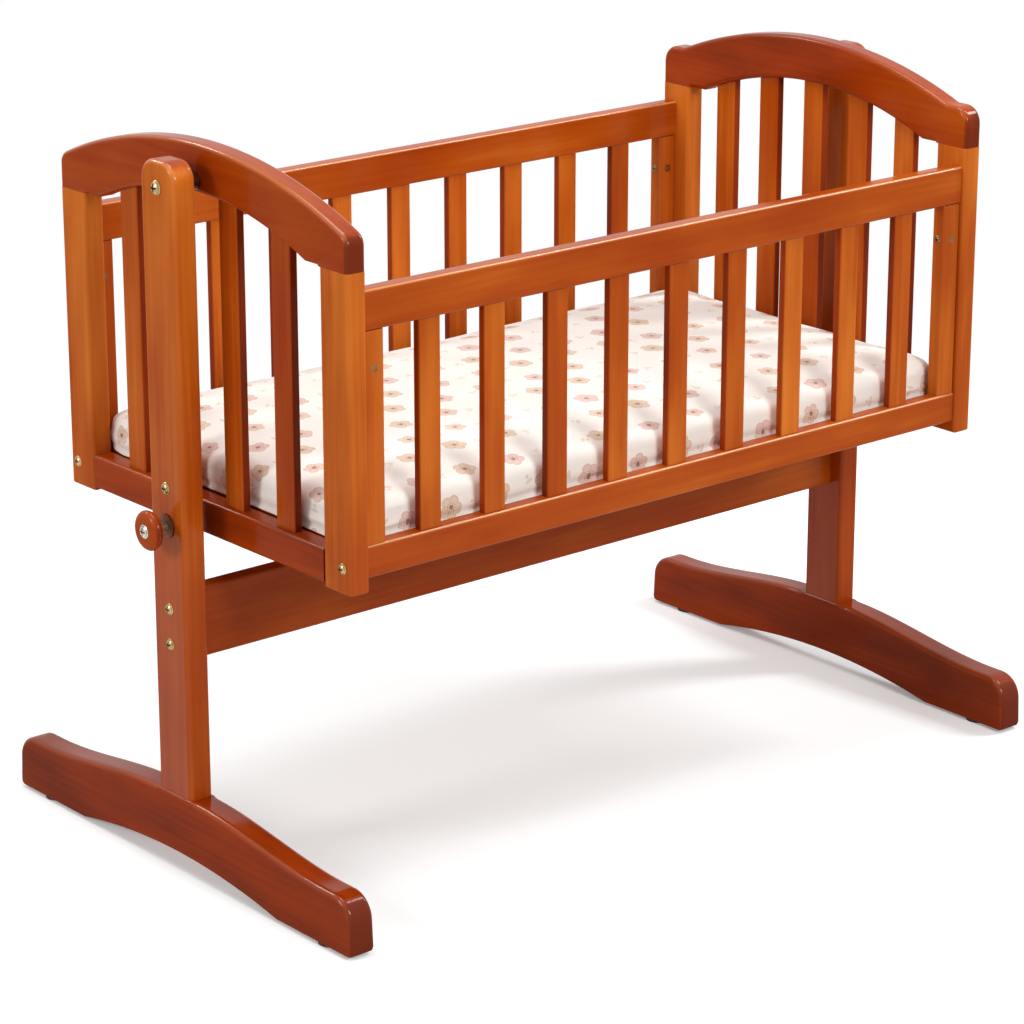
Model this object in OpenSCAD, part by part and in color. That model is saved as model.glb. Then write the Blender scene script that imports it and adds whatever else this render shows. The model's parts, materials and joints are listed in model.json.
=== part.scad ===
// Swinging cradle hung between the two posts of a stand.
// Millimetres, +Z up. X runs along the cradle: the near end, with the lock knob, is at -X.
// Y runs across it: the front is at -Y. The origin is on the floor, under the middle of the
// whole object's box, so the cradle's own middle lies at x = mid_x.

/* [Cradle] */
// length over the outer faces of the two end panels
cradle_len = 960; // [820:5:1100]
// width of the end panels
cradle_w = 535; // [440:5:620]
// thickness of the end panels
end_t = 26; // [22:1:34]
// width of the end panels' stiles
stile_w = 48; // [40:1:60]
// height of the stiles' lower ends above the floor
panel_z = 390; // [370:5:430]
// height of the joint between the stiles and the arch above the floor
joint_z = 745; // [700:5:780]
// height of the arch's crown above that joint
arch_rise = 95; // [85:1:115]
// how far the near arch's top curve falls towards the panel's edges
near_fall = 57; // [45:1:62]
// radius of the near arch's outer corners
near_r = 16; // [10:1:22]
// height of the far arch's squared ends above that joint
ear_h = 49; // [40:1:60]
// width of the far arch's squared ends
ear_w = 35; // [28:1:45]
// radius of the far arch's outer corners
ear_r = 21; // [10:1:26]
// height of the curved underside's middle above the joint
under_rise = 40; // [30:1:46]
// length of the underside's level ends
under_flat = 27; // [15:1:40]
// height of an end panel's bottom rail
end_rail_h = 40; // [30:1:60]
// how far the stiles reach below that rail
stile_drop = 4; // [0:1:12]

/* [Sides] */
// thickness of the side rails
side_t = 20; // [18:1:28]
// how far the side rails lie inside the end panels' edges
side_inset = 5; // [0:1:12]
// height of the top rails
top_rail_h = 45; // [35:1:60]
// distance from the arch joint down to the top rails' upper edges
top_rail_drop = 22; // [5:1:45]
// height of the bottom rails
bottom_rail_h = 37; // [30:1:60]
// height of the bottom rails' lower edges above the stiles' lower ends
bottom_rail_up = 14; // [5:1:30]
// width of the upright at each end of a side
side_stile_w = 27; // [22:1:40]
// clear gap between that upright and the first slat
end_gap = 50; // [30:1:70]

/* [Slats] */
// number of slats in the near end panel
near_slats_n = 4; // [3:1:7]
// number of slats in the far end panel
far_slats_n = 5; // [3:1:7]
// width of an end panel's slats
end_slat_w = 34; // [25:1:40]
// number of slats in each side
side_slats_n = 9; // [7:1:11]
// width of a side's slats
side_slat_w = 30; // [22:1:36]
// thickness of every slat
slat_t = 11; // [8:1:14]
// depth of a slat's housing in a rail
housing = 10; // [6:1:14]

/* [Bed] */
// thickness of the base board
board_t = 8; // [5:1:12]
// height of the base board's top above the bottom rails' lower edges
board_up = 31; // [28:1:34]
// width and height of the cleats under the board
cleat = 18; // [12:1:20]
// thickness of the mattress at its middle
mattress_t = 56; // [40:1:90]
// clear space all round the mattress
mattress_play = 5; // [3:1:15]

/* [Stand] */
// clear gap between an end panel and its post
post_gap = 21; // [16:1:30]
// width of a post
post_w = 63; // [50:1:80]
// thickness of a post
post_t = 30; // [24:1:40]
// height of a post above the pivot
post_over = 30; // [26:1:50]
// radius of a post's upper corners
post_r = 23; // [10:1:24]
// height of the pivot above the arch joint
pivot_up = 53; // [50:1:66]
// length of a foot
foot_len = 650; // [560:10:760]
// thickness of a foot
foot_t = 34; // [30:1:50]
// height of a foot at its middle, without its pads
foot_h = 90; // [75:1:110]
// height of a foot near its ends
foot_end_h = 67; // [55:1:72]
// radius of a foot's upper corners
foot_r = 30; // [15:1:40]
// height of the hollow under a foot
foot_hollow = 19; // [8:1:30]
// length of the level part of the sole at each end
foot_sole = 135; // [90:5:160]
// thickness of the pads under the feet
pad_t = 3; // [2:1:8]
// diameter of those pads
pad_d = 30; // [20:1:34]
// distance of the pads' middles from the feet's ends
pad_in = 55; // [30:5:90]
// height of the stretcher
stretcher_h = 84; // [60:1:110]
// thickness of the stretcher
stretcher_t = 22; // [18:1:30]
// height of the stretcher's lower edge above the floor
stretcher_z = 253; // [180:1:260]
// distance between the two bolts at each end of the stretcher
stretcher_pitch = 42; // [30:1:60]

/* [Pivot and lock] */
// diameter of the pivot bolts
pivot_d = 8; // [6:1:10]
// diameter of their heads
pivot_head_d = 17; // [14:1:22]
// diameter of the knob
knob_d = 46; // [36:1:56]
// thickness of the knob
knob_t = 17; // [14:1:26]
// diameter of the rod behind the knob
rod_d = 10; // [8:1:12]
// diameter of the rubber pad on the rod
lock_pad_d = 30; // [24:1:34]
// thickness of that pad
lock_pad_t = 9; // [6:1:12]
// height of the screw above the knob
lock_screw_up = 44; // [28:1:60]

/* [Fits] */
// play between a slat and its housing, on each side
slat_play = 0.1; // [0.05:0.05:0.5]
// play round hardware that is pressed in
snug = 0.05; // [0.02:0.01:0.1]
// running play of a shaft in its bush, on the radius
running = 0.05; // [0.02:0.01:0.09]
// free gap kept between two parts that move past each other
free_gap = 0.3; // [0.2:0.05:0.6]
// gap left between the lock's pad and the rail when the lock is on
lock_gap = 0.15; // [0.1:0.05:0.3]

/* [Hidden] */
near = -1;
far = 1;
front = -1;
back = 1;
wood_a = [0.66, 0.30, 0.12];
wood_b = [0.72, 0.35, 0.15];
wood_c = [0.58, 0.25, 0.10];
brass = [0.80, 0.62, 0.30];
steel = [0.72, 0.72, 0.74];
rubber = [0.10, 0.10, 0.11];
half_len = cradle_len / 2;
half_w = cradle_w / 2;
inner_len = cradle_len - 2 * end_t;
stile_y = half_w - stile_w;
rail_z = panel_z + stile_drop;
end_x = half_len - end_t / 2;
end_slat_lo = rail_z + end_rail_h - housing;
side_y = half_w - side_inset - side_t / 2;
side_z = panel_z + bottom_rail_up;
side_rail_top = side_z + bottom_rail_h;
top_rail_z = joint_z - top_rail_drop - top_rail_h;
board_z = side_z + board_up;
// the lower slats of a side start here, and the upper ends stop below the top rail's top
side_slat_lo = side_rail_top - housing;
side_slat_hi = top_rail_z + housing;
side_clear = inner_len - 2 * side_stile_w;
side_pitch = (side_clear - 2 * end_gap - side_slat_w) / (side_slats_n - 1);
post_in = half_len + post_gap;
post_out = post_in + post_t;
foot_mid = (post_in + post_out) / 2;
foot_top = pad_t + foot_h;
pivot_z = joint_z + pivot_up;
post_top = pivot_z + post_over;
lock_z = rail_z + end_rail_h / 2;
// the near arch's top curve runs on to its corners, which stand out by a hair where they meet it
near_big_r = (half_w * half_w + near_fall * near_fall) / (2 * near_fall);
near_corner_y = half_w - near_r;
near_reach = near_big_r - near_r + 0.06;
near_corner_z = joint_z + arch_rise - near_big_r + sqrt(near_reach * near_reach - near_corner_y * near_corner_y);
near_clip = near_big_r * near_corner_y / (near_big_r - near_r);
// the far arch's top curve ends where its level end begins
arch_half = half_w - ear_w;
arch_drop = arch_rise - ear_h;
arch_clip = half_w - ear_r - (ear_w - ear_r) / 2;
arch_big_r = (arch_half * arch_half + arch_drop * arch_drop) / (2 * arch_drop);
under_half = stile_y - under_flat;
under_r = (under_half * under_half + under_rise * under_rise) / (2 * under_rise);
hollow_half = foot_len / 2 - foot_sole;
hollow_r = (hollow_half * hollow_half + foot_hollow * foot_hollow) / (2 * foot_hollow);
// the lock: its travel takes the pad from the post to the end panel's bottom rail
lock_travel = post_gap - free_gap - lock_pad_t - lock_gap;
flange_t = 2;
neck_h = 3;
knob_back = post_out + flange_t + lock_travel + free_gap + neck_h;
knob_front = knob_back + knob_t;
mid_x = (knob_front - (foot_mid + foot_t / 2)) / 2;
corner_z = side_z + 15;
stud_z = top_rail_z - 42;
stretcher_bolt_z = stretcher_z + stretcher_h / 2;
$fn = 48;

// ---- shared shapes ----

// moves the cradle's middle to its place in the object's frame
module at_mid() {
    translate([mid_x, 0, 0]) children();
}

// rectangle w by h about its middle, with corners of radius r
module round_rect(w, h, r) {
    square([w - 2 * r, h], center = true);
    square([w, h - 2 * r], center = true);
    for (x = [-1, 1])
        for (y = [-1, 1])
            translate([x * (w / 2 - r), y * (h / 2 - r)]) circle(r = r, $fn = 24);
}

// outline drawn as (Y, Z), carried along X from x0 for len
module along_x(x0, len) {
    translate([x0, 0, 0]) rotate([90, 0, 90]) linear_extrude(len) children();
}

// bar along X with its section's middle at y, z
module bar_x(x0, len, y, z, w, h, r) {
    along_x(x0, len) translate([y, z]) round_rect(w, h, r);
}

// bar along Y with its section's middle at x, z
module bar_y(y0, len, x, z, w, h, r) {
    translate([x, y0 + len, z]) rotate([90, 0, 0]) linear_extrude(len) round_rect(w, h, r);
}

// upright with its section's middle at x, y
module bar_z(z0, len, x, y, w, d, r) {
    translate([x, y, z0]) linear_extrude(len) round_rect(w, d, r);
}

// round bar or bore along X from x0 for len
module rod_x(x0, len, y, z, d) {
    translate([x0, y, z]) rotate([0, 90, 0]) cylinder(d = d, h = len, $fn = 40);
}

// round bar or bore along Y from y0 for len
module rod_y(y0, len, x, z, d) {
    translate([x, y0 + len, z]) rotate([90, 0, 0]) cylinder(d = d, h = len, $fn = 40);
}

// box with its lowest corner at lo
module block(lo, size) {
    translate(lo) cube(size);
}

// screw along Z: domed head above z = 0 with a cross recess, shank below it
module screw(head_d, head_h, shank_d, shank_len) {
    dome_r = (head_d * head_d / 4 + head_h * head_h) / (2 * head_h) * 1.06;
    slot_w = head_d * 0.13;
    slot_l = head_d * 0.56;
    difference() {
        intersection() {
            cylinder(d = head_d, h = head_h, $fn = 32);
            translate([0, 0, head_h - dome_r]) sphere(r = dome_r, $fn = 64);
        }
        translate([-slot_l / 2, -slot_w / 2, head_h * 0.4]) cube([slot_l, slot_w, head_h]);
        translate([-slot_w / 2, -slot_l / 2, head_h * 0.4]) cube([slot_w, slot_l, head_h]);
    }
    translate([0, 0, -shank_len]) cylinder(d = shank_d, h = shank_len, $fn = 32);
}

// screw along X with its head on the face x = s * x_face, pointing away from the middle
module screw_x(s, x_face, y, z, head_d, head_h, shank_d, shank_len) {
    translate([s * x_face, y, z]) rotate([0, s * 90, 0]) screw(head_d, head_h, shank_d, shank_len);
}

// middle of slat i of n, spaced with equal gaps between the stiles
function end_slat_y(i, n) =
    let (gap = (2 * stile_y - n * end_slat_w) / (n + 1))
    -stile_y + gap * i + end_slat_w * (i - 0.5);

// height of the arch's underside at y
function under_at(y) =
    abs(y) >= under_half ? joint_z
    : joint_z + under_rise - under_r + sqrt(under_r * under_r - y * y);

// upper end of the slat whose middle is at y, kept clear of the pivot's insert
function end_slat_top(y) =
    min(under_at(max(0, abs(y) - end_slat_w / 2)) + housing - 2, pivot_z - pivot_d / 2 - 4);

// middle of slat i of a side
function side_slat_x(i) = (i - (side_slats_n + 1) / 2) * side_pitch;

// ---- stand ----

// a post's outline: plain below, with two round upper corners
module post_outline() {
    translate([-post_w / 2, foot_top]) square([post_w, post_top - post_r - foot_top]);
    translate([-post_w / 2 + post_r, foot_top]) square([post_w - 2 * post_r, post_top - foot_top]);
    for (s = [-1, 1])
        translate([s * (post_w / 2 - post_r), post_top - post_r]) circle(r = post_r, $fn = 64);
}

module post(s) {
    x0 = s < 0 ? -post_out : post_in;
    difference() {
        intersection() {
            along_x(x0, post_t) post_outline();
            bar_z(foot_top, post_top - foot_top, s * foot_mid, 0, post_t, post_w, 5);
        }
        rod_x(x0 - 1, post_t + 2, 0, pivot_z, pivot_d + 4 + 2 * snug);
        for (k = [-0.5, 0.5])
            rod_x(x0 - 1, post_t + 2, 0, stretcher_bolt_z + k * stretcher_pitch, 6.4);
        for (y = [-16, 16])
            translate([s * foot_mid, y, foot_top - 1]) cylinder(d = 8.4, h = 58, $fn = 32);
        if (s < 0) {
            rod_x(x0 - 1, post_t + 2, 0, lock_z, rod_d + 4 + 2 * snug);
            rod_x(x0 - 1, 26, 0, lock_z + lock_screw_up, 5 + 2 * snug);
        }
    }
}

module near_post() {
    color(wood_a) at_mid() post(near);
}

module far_post() {
    color(wood_a) at_mid() post(far);
}

// half of a foot's top edge: level under the post, then one long smooth fall to its end
fall_in = post_w / 2 + 4;
foot_round_y = foot_len / 2 - foot_r;
fall_out = foot_round_y - 15;
function foot_edge(y) =
    let (t = (y - fall_in) / (fall_out - fall_in), k = t * t * (3 - 2 * t))
    foot_h * (1 - k) + foot_end_h * k;
foot_half = concat(
    [[foot_len / 2 - 4, 0], [foot_len / 2, 4]],
    [for (a = [0:7.5:90]) [foot_round_y + foot_r * cos(a), foot_end_h - foot_r + foot_r * sin(a)]],
    [for (i = [16:-1:0]) let (y = fall_in + (fall_out - fall_in) * i / 16) [y, foot_edge(y)]]
);

module foot_outline() {
    difference() {
        polygon(concat(foot_half, [for (i = [len(foot_half) - 1:-1:0]) [-foot_half[i][0], foot_half[i][1]]]));
        translate([0, foot_hollow - hollow_r]) circle(r = hollow_r, $fn = 360);
    }
}

module foot(s) {
    x0 = s * foot_mid - foot_t / 2;
    difference() {
        translate([0, 0, pad_t]) along_x(x0, foot_t) foot_outline();
        for (y = [-16, 16]) {
            translate([s * foot_mid, y, 0]) cylinder(d = 8.4, h = foot_top + 1, $fn = 32);
            translate([s * foot_mid, y, 0]) cylinder(d = 15, h = pad_t + foot_hollow + 12, $fn = 32);
        }
    }
}

module near_foot() {
    color(wood_c) at_mid() foot(near);
}

module far_foot() {
    color(wood_c) at_mid() foot(far);
}

module foot_pads() {
    color(rubber)
        at_mid()
            for (s = [-1, 1])
                for (t = [-1, 1])
                    translate([s * foot_mid, t * (foot_len / 2 - pad_in), 0])
                        cylinder(d = pad_d, h = pad_t, $fn = 40);
}

module foot_bolts() {
    head_z = pad_t + foot_hollow + 12;
    color(steel)
        at_mid()
            for (s = [-1, 1])
                for (y = [-16, 16])
                    translate([s * foot_mid, y, head_z])
                        difference() {
                            union() {
                                translate([0, 0, -6]) cylinder(d = 13, h = 6, $fn = 32);
                                cylinder(d = 8, h = foot_top + 54 - head_z, $fn = 32);
                            }
                            translate([0, 0, -7]) cylinder(d = 6, h = 5, $fn = 6);
                        }
}

module stretcher() {
    color(wood_c)
        at_mid()
            difference() {
                bar_x(-post_in, 2 * post_in, 0, stretcher_bolt_z, stretcher_t, stretcher_h, 4);
                for (s = [-1, 1])
                    for (k = [-0.5, 0.5]) {
                        z = stretcher_bolt_z + k * stretcher_pitch;
                        rod_x(s < 0 ? -post_in - 1 : post_in - 24, 25, 0, z, 11 + 2 * snug);
                        rod_x(s < 0 ? -post_in : post_in - 40, 40, 0, z, 6.4);
                    }
            }
}

module stretcher_bolts() {
    color(brass)
        at_mid()
            for (s = [-1, 1])
                for (k = [-0.5, 0.5])
                    screw_x(s, post_out, 0, stretcher_bolt_z + k * stretcher_pitch, 14, 4, 6, post_t + 34);
}

module stretcher_inserts() {
    color(steel)
        at_mid()
            for (s = [-1, 1])
                for (k = [-0.5, 0.5]) {
                    z = stretcher_bolt_z + k * stretcher_pitch;
                    x0 = s < 0 ? -post_in : post_in - 24;
                    difference() {
                        rod_x(x0, 24, 0, z, 11);
                        rod_x(x0 - 1, 26, 0, z, 6.2);
                    }
                }
}

module pivot_bushes() {
    color(brass)
        at_mid()
            for (s = [-1, 1]) {
                x0 = s < 0 ? -post_out : post_in;
                difference() {
                    rod_x(x0, post_t, 0, pivot_z, pivot_d + 4);
                    rod_x(x0 - 1, post_t + 2, 0, pivot_z, pivot_d + 2 * running);
                }
            }
}

module lock_bush() {
    color(brass)
        at_mid()
            difference() {
                union() {
                    rod_x(-post_out, post_t, 0, lock_z, rod_d + 4);
                    rod_x(-post_out - flange_t, flange_t, 0, lock_z, 28);
                }
                rod_x(-post_out - 5, post_t + 10, 0, lock_z, rod_d + 2 * running);
            }
}

module post_screw() {
    color(brass)
        at_mid() screw_x(near, post_out, 0, lock_z + lock_screw_up, 14, 4, 5, 24);
}

// ---- end panels ----

// the near arch's upper outline: one curve with round corners
module near_crown() {
    intersection() {
        translate([0, joint_z + arch_rise - near_big_r]) circle(r = near_big_r, $fn = 360);
        union() {
            translate([-half_w, joint_z]) square([cradle_w, near_corner_z - joint_z]);
            translate([-near_clip, joint_z]) square([2 * near_clip, arch_rise + 1]);
            for (s = [-1, 1])
                translate([s * near_corner_y, near_corner_z]) circle(r = near_r, $fn = 48);
        }
    }
}

// the far arch's upper outline: a curve between two level ends with round corners
module far_crown() {
    intersection() {
        translate([0, joint_z + arch_rise - arch_big_r]) circle(r = arch_big_r, $fn = 360);
        translate([-arch_clip, joint_z]) square([2 * arch_clip, arch_rise + 1]);
    }
    translate([-half_w, joint_z]) square([cradle_w, ear_h - ear_r]);
    translate([-half_w + ear_r, joint_z]) square([cradle_w - 2 * ear_r, ear_h]);
    for (s = [-1, 1])
        translate([s * (half_w - ear_r), joint_z + ear_h - ear_r]) circle(r = ear_r, $fn = 48);
}

// an arch's outline, with its curved underside taken out
module arch_outline(s) {
    difference() {
        if (s < 0)
            near_crown();
        else
            far_crown();
        intersection() {
            translate([0, joint_z + under_rise - under_r]) circle(r = under_r, $fn = 300);
            translate([-under_half - 1, joint_z - 1]) square([2 * under_half + 2, under_rise + 2]);
        }
    }
}

// housings for n slats, cut through an end panel's arch and bottom rail
module end_housings(s, n) {
    x0 = s * end_x - slat_t / 2 - slat_play;
    for (i = [1:n]) {
        y = end_slat_y(i, n);
        block(
            [x0, y - end_slat_w / 2 - slat_play, end_slat_lo - slat_play],
            [slat_t + 2 * slat_play, end_slat_w + 2 * slat_play, end_slat_top(y) - end_slat_lo + 2 * slat_play]
        );
    }
}

module arch(s, n) {
    difference() {
        along_x(s < 0 ? -half_len : half_len - end_t, end_t) arch_outline(s);
        end_housings(s, n);
        rod_x(s < 0 ? -half_len - 1 : half_len - 18, 19, 0, pivot_z, pivot_d + 4 + 2 * snug);
    }
}

module near_arch() {
    color(wood_a) at_mid() arch(near, near_slats_n);
}

module far_arch() {
    color(wood_a) at_mid() arch(far, far_slats_n);
}

// upright of an end panel, with the bores for its corner bolt and its side stud
module stile(s, t) {
    difference() {
        bar_z(panel_z, joint_z - panel_z, s * end_x, t * (half_w - stile_w / 2), end_t, stile_w, 4);
        rod_x(s * end_x - end_t, 2 * end_t, t * side_y, corner_z, 6.4);
        rod_x(s < 0 ? -half_len + end_t - 18 : half_len - end_t - 1, 19, t * side_y, stud_z, 5.4);
    }
}

module near_front_stile() {
    color(wood_b) at_mid() stile(near, front);
}

module near_back_stile() {
    color(wood_b) at_mid() stile(near, back);
}

module far_front_stile() {
    color(wood_b) at_mid() stile(far, front);
}

module far_back_stile() {
    color(wood_b) at_mid() stile(far, back);
}

module end_rail(s, n) {
    difference() {
        bar_y(-stile_y, 2 * stile_y, s * end_x, lock_z, end_t, end_rail_h, 4);
        end_housings(s, n);
    }
}

module near_bottom_rail() {
    color(wood_a) at_mid() end_rail(near, near_slats_n);
}

module far_bottom_rail() {
    color(wood_a) at_mid() end_rail(far, far_slats_n);
}

module end_slat(s, i, n) {
    y = end_slat_y(i, n);
    bar_z(end_slat_lo, end_slat_top(y) - end_slat_lo, s * end_x, y, slat_t, end_slat_w, 2.5);
}

module near_slat(i) {
    color(wood_b) at_mid() end_slat(near, i, near_slats_n);
}

module far_slat(i) {
    color(wood_b) at_mid() end_slat(far, i, far_slats_n);
}

// ---- sides ----

// housings for a side's slats, reaching into both of its rails
module side_housings(t) {
    y0 = t * side_y - slat_t / 2 - slat_play;
    for (i = [1:side_slats_n])
        block(
            [side_slat_x(i) - side_slat_w / 2 - slat_play, y0, side_slat_lo - slat_play],
            [side_slat_w + 2 * slat_play, slat_t + 2 * slat_play, side_slat_hi - side_slat_lo + 2 * slat_play]
        );
}

module top_rail(t) {
    difference() {
        bar_x(-inner_len / 2, inner_len, t * side_y, top_rail_z + top_rail_h / 2, side_t, top_rail_h, 3.5);
        side_housings(t);
    }
}

module bottom_rail(t) {
    difference() {
        bar_x(-inner_len / 2, inner_len, t * side_y, side_z + bottom_rail_h / 2, side_t, bottom_rail_h, 3.5);
        side_housings(t);
        for (s = [-1, 1]) {
            rod_x(s < 0 ? -inner_len / 2 - 1 : inner_len / 2 - 44, 45, t * side_y, corner_z, 6.4);
            // pocket for the barrel nut, open to the inside
            y0 = t < 0 ? -side_y + side_t / 2 - 15 : side_y - side_t / 2 - 1;
            rod_y(y0, 16, s * (inner_len / 2 - 30), corner_z, 10 + 2 * snug);
        }
    }
}

module upright(s, t) {
    x = s * (inner_len / 2 - side_stile_w / 2);
    difference() {
        bar_z(side_rail_top, top_rail_z - side_rail_top, x, t * side_y, side_stile_w, side_t - 2, 2.5);
        rod_x(x - side_stile_w, 2 * side_stile_w, t * side_y, stud_z, 5.4);
        rod_y(t * side_y - side_t, 2 * side_t, x, stud_z, 10 + 2 * snug);
    }
}

module side_slats(t) {
    for (i = [1:side_slats_n])
        bar_z(side_slat_lo, side_slat_hi - side_slat_lo, side_slat_x(i), t * side_y, side_slat_w, slat_t, 2.5);
}

module front_top_rail() {
    color(wood_b) at_mid() top_rail(front);
}

module front_bottom_rail() {
    color(wood_b) at_mid() bottom_rail(front);
}

module front_near_upright() {
    color(wood_b) at_mid() upright(near, front);
}

module front_far_upright() {
    color(wood_b) at_mid() upright(far, front);
}

module front_slats() {
    color(wood_b) at_mid() side_slats(front);
}

module back_top_rail() {
    color(wood_b) at_mid() top_rail(back);
}

module back_bottom_rail() {
    color(wood_b) at_mid() bottom_rail(back);
}

module back_near_upright() {
    color(wood_b) at_mid() upright(near, back);
}

module back_far_upright() {
    color(wood_b) at_mid() upright(far, back);
}

module back_slats() {
    color(wood_b) at_mid() side_slats(back);
}

// ---- bed ----

module base_board() {
    board_w = 2 * side_y - side_t - 3;
    board_len = inner_len - 3;
    color(wood_b)
        at_mid() block([-board_len / 2, -board_w / 2, board_z - board_t], [board_len, board_w, board_t]);
}

module base_cleats() {
    y = side_y - side_t / 2 - cleat / 2;
    z = board_z - board_t - cleat / 2;
    color(wood_c)
        at_mid()
            for (t = [-1, 1])
                bar_x(-inner_len / 2 + 4, inner_len - 8, t * y, z, cleat, cleat, 1.5);
}

// point at angle a of corner q of a rectangle with half sizes hx, hy and corner radius r
function corner_point(hx, hy, r, q, a) =
    let (sx = (q == 0 || q == 3) ? 1 : -1, sy = q < 2 ? 1 : -1, g = q * 90 + a)
    [sx * (hx - r) + r * cos(g), sy * (hy - r) + r * sin(g)];
// an outline at height z: four corner arcs, and sides that pull in between the corners
mat_seg = 5;
mat_steps = [6, 4, 6, 4];
mat_pull = 3;
function ring(hx, hy, r, z) = [
    for (q = [0:3])
        let (e = corner_point(hx, hy, r, q, 90), f = corner_point(hx, hy, r, (q + 1) % 4, 0))
        each concat(
            [
                for (k = [0:mat_seg - 1])
                    let (p = corner_point(hx, hy, r, q, 90 * k / (mat_seg - 1)))
                    [p[0], p[1], z]
            ],
            [
                for (k = [1:mat_steps[q]])
                    let (u = k / (mat_steps[q] + 1), d = mat_pull * 4 * u * (1 - u), g = q * 90 + 90)
                    [e[0] + (f[0] - e[0]) * u - d * cos(g), e[1] + (f[1] - e[1]) * u - d * sin(g), z]
            ]
        )
];
mat_hx = inner_len / 2 - mattress_play;
mat_hy = side_y - side_t / 2 - mattress_play;
// rows of the mattress: inset of the outline, share of its size, height as a share of the edge
mat_edge = mattress_t - 6;
mat_rows = concat(
    [for (s = [0.5, 0.9]) [14, s, 0]],
    [for (a = [0:22.5:90]) [14 - 14 * sin(a), 1, (14 - 14 * cos(a)) / mat_edge]],
    [for (h = [0.4, 0.5, 0.6]) [2.2 * sin(180 * (h - 0.28) / 0.44), 1, h]],
    [for (a = [0:22.5:90]) [14 - 14 * cos(a), 1, 1 - (14 - 14 * sin(a)) / mat_edge]],
    [for (s = [0.9, 0.75, 0.55, 0.3]) [14, s, 1 + 6 / mat_edge * (1 - pow(s, 3))]]
);
mat_points = concat(
    [[0, 0, 0]],
    [
        for (m = mat_rows)
            for (p = ring(mat_hx - m[0], mat_hy - m[0], 34 - m[0] * 0.6, m[2] * mat_edge))
                [p[0] * m[1], p[1] * m[1], p[2]]
    ],
    [[0, 0, mattress_t]]
);
mat_n = 4 * mat_seg + 20;
mat_last = len(mat_rows) - 1;
mat_faces = concat(
    [for (i = [0:mat_n - 1]) [0, 1 + i, 1 + (i + 1) % mat_n]],
    [
        for (j = [0:mat_last - 1])
            for (i = [0:mat_n - 1])
                let (a = 1 + j * mat_n + i, b = 1 + j * mat_n + (i + 1) % mat_n)
                each [[a, a + mat_n, b], [b, a + mat_n, b + mat_n]]
    ],
    [
        for (i = [0:mat_n - 1])
            let (a = 1 + mat_last * mat_n)
            [len(mat_points) - 1, a + (i + 1) % mat_n, a + i]
    ]
);

module mattress() {
    color([0.96, 0.92, 0.86]) at_mid() translate([0, 0, board_z]) polyhedron(mat_points, mat_faces);
}

// ---- cradle hardware ----

module corner_bolts() {
    color(brass)
        at_mid()
            for (s = [-1, 1])
                for (t = [-1, 1])
                    screw_x(s, half_len, t * side_y, corner_z, 13, 3.6, 6, end_t + 40);
}

module corner_nuts() {
    color(steel)
        at_mid()
            for (s = [-1, 1])
                for (t = [-1, 1]) {
                    x = s * (inner_len / 2 - 30);
                    y0 = t < 0 ? -side_y + side_t / 2 - 14.5 : side_y - side_t / 2 + 0.5;
                    difference() {
                        rod_y(y0, 14, x, corner_z, 10);
                        rod_x(x - 8, 16, t * side_y, corner_z, 6.2);
                    }
                }
}

module side_studs() {
    x = side_stile_w - inner_len / 2;
    color(brass)
        at_mid()
            for (s = [-1, 1])
                for (t = [-1, 1])
                    screw_x(-s, x, t * side_y, stud_z, 10, 2.4, 5, side_stile_w + 16);
}

module side_nuts() {
    color(brass)
        at_mid()
            for (s = [-1, 1])
                for (t = [-1, 1]) {
                    x = s * (inner_len / 2 - side_stile_w / 2);
                    difference() {
                        rod_y(t * side_y - side_t / 2 + 0.8, side_t - 1.6, x, stud_z, 10);
                        rod_x(x - 8, 16, t * side_y, stud_z, 5.2);
                        for (k = [-1, 1])
                            translate([x - 3.4, t * side_y + k * (side_t / 2 - 1) - 1, stud_z - 0.7])
                                cube([6.8, 2, 1.4]);
                    }
                }
}

module pivot_bolts() {
    shank = free_gap + post_t + post_gap + 16;
    color(brass)
        at_mid()
            for (s = [-1, 1])
                screw_x(s, post_out + free_gap, 0, pivot_z, pivot_head_d, 5, pivot_d, shank);
}

module pivot_spacers() {
    color(brass)
        at_mid()
            for (s = [-1, 1]) {
                x0 = s < 0 ? -post_in + free_gap : half_len;
                difference() {
                    rod_x(x0, post_gap - free_gap, 0, pivot_z, 20);
                    rod_x(x0 - 1, post_gap + 2, 0, pivot_z, pivot_d + 2 * snug);
                }
            }
}

module pivot_inserts() {
    color(steel)
        at_mid()
            for (s = [-1, 1])
                difference() {
                    rod_x(s < 0 ? -half_len : half_len - 18, 18, 0, pivot_z, pivot_d + 4);
                    rod_x(s < 0 ? -half_len - 1 : half_len - 17, 18, 0, pivot_z, pivot_d + 2 * snug);
                }
}

// ---- lock ----

// the turned knob: a round-edged disc on a short neck, with a recess for its screw
module lock_knob() {
    edge = 6;
    r = knob_d / 2;
    color(wood_a)
        at_mid()
            translate([-knob_back, 0, lock_z])
                rotate([0, -90, 0])
                    difference() {
                        union() {
                            rotate_extrude($fn = 64) {
                                square([r - edge, knob_t]);
                                translate([0, edge]) square([r, knob_t - 2 * edge]);
                                translate([r - edge, edge]) circle(r = edge, $fn = 32);
                                translate([r - edge, knob_t - edge]) circle(r = edge, $fn = 32);
                            }
                            translate([0, 0, -neck_h]) cylinder(d = rod_d + 8, h = neck_h + 1, $fn = 48);
                        }
                        translate([0, 0, knob_t - 3]) cylinder(d = 17.4, h = 4, $fn = 48);
                        translate([0, 0, -neck_h - 1]) cylinder(d = rod_d + 2 * snug, h = neck_h + 9, $fn = 40);
                        cylinder(d = 5 + 2 * snug, h = knob_t, $fn = 32);
                    }
}

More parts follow.
